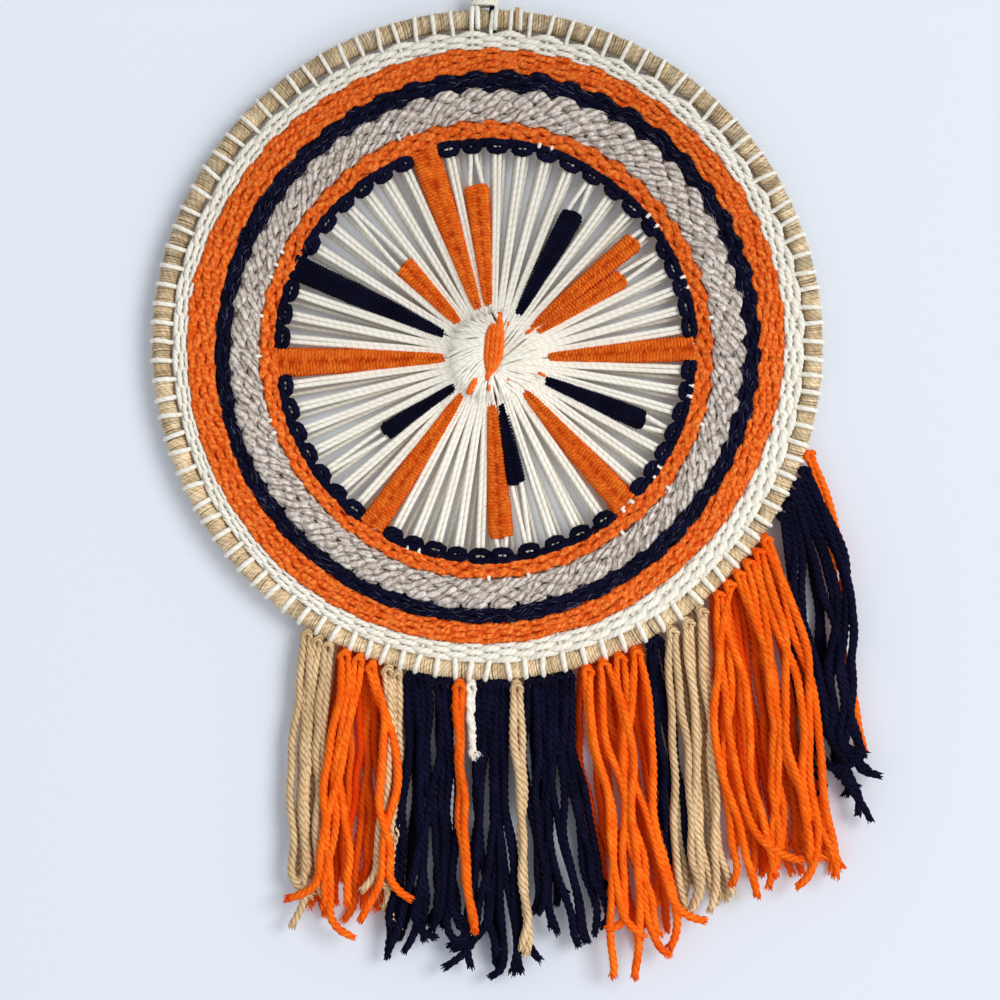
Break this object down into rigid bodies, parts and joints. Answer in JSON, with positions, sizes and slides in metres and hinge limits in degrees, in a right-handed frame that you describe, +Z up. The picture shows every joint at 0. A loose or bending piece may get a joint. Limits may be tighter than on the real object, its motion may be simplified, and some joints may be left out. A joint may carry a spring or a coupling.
{
  "type": "macrame wall hanging and hoop",
  "caption": "Round woven wall hanging on a twine-wrapped hoop, with rings of weft, yarn-wrapped spokes, a gathered centre and a knotted yarn fringe along its lower edge.",
  "frame": {"origin": "where the nail holds the top of the hanging loop, midway through the hoop's thickness", "axes": "+Z up, -Y out of the wall towards the viewer, +X to the viewer's right"},
  "size_m": [0.3212, 0.0193, 0.4713],
  "materials": {
    "jute_twine": "twisted jute twine wound side by side, dry and slightly hairy",
    "cream_cotton": "two-ply unbleached cotton string, matt",
    "orange_yarn": "plied bright orange yarn, soft and matt",
    "navy_yarn": "plied dark navy yarn, fuzzy",
    "taupe_yarn": "marled pale taupe yarn with darker flecks",
    "tan_yarn": "plied tan yarn, smooth and tightly twisted"
  },
  "bodies": {
    "root": {"wrapped_hoop": "jute_twine", "front_warp": "cream_cotton", "back_warp": "cream_cotton", "band_cream": "cream_cotton", "band_orange_outer": "orange_yarn", "band_navy": "navy_yarn", "band_taupe": "taupe_yarn", "band_orange_inner": "orange_yarn", "chain_1": "navy_yarn", "chain_2": "navy_yarn", "chain_3": "navy_yarn", "chain_4": "navy_yarn", "chain_5": "navy_yarn", "chain_6": "navy_yarn", "spoke_orange_pair_0": "orange_yarn", "spoke_orange_pair_5": "orange_yarn", "spoke_orange_pair_6": "orange_yarn", "spoke_navy_pair_9": "navy_yarn", "spoke_orange_pair_14": "orange_yarn", "spoke_orange_pair_16": "orange_yarn", "spoke_orange_pair_20": "orange_yarn", "spoke_navy_pair_23": "navy_yarn", "spoke_orange_pair_27": "orange_yarn", "spoke_navy_pair_32": "navy_yarn", "spoke_orange_pair_35": "orange_yarn", "spoke_orange_pair_41": "orange_yarn", "spoke_navy_pair_42": "navy_yarn", "spoke_orange_pair_46": "orange_yarn", "spoke_navy_pair_50": "navy_yarn", "centre_knot": "cream_cotton", "centre_eye": "orange_yarn", "fringe_1_tan": "tan_yarn", "fringe_2_orange": "orange_yarn", "fringe_3_tan": "tan_yarn", "fringe_4_navy": "navy_yarn", "fringe_5_orange": "orange_yarn", "fringe_6_cream": "cream_cotton", "fringe_7_navy": "navy_yarn", "fringe_8_tan": "tan_yarn", "fringe_9_navy": "navy_yarn", "fringe_10_orange": "orange_yarn", "fringe_11_navy": "navy_yarn", "fringe_12_tan": "tan_yarn", "fringe_13_orange": "orange_yarn", "fringe_14_navy": "navy_yarn", "fringe_15_orange": "orange_yarn", "hanging_loop": "cream_cotton", "hanging_knot": "cream_cotton"}
  },
  "joints": []
}
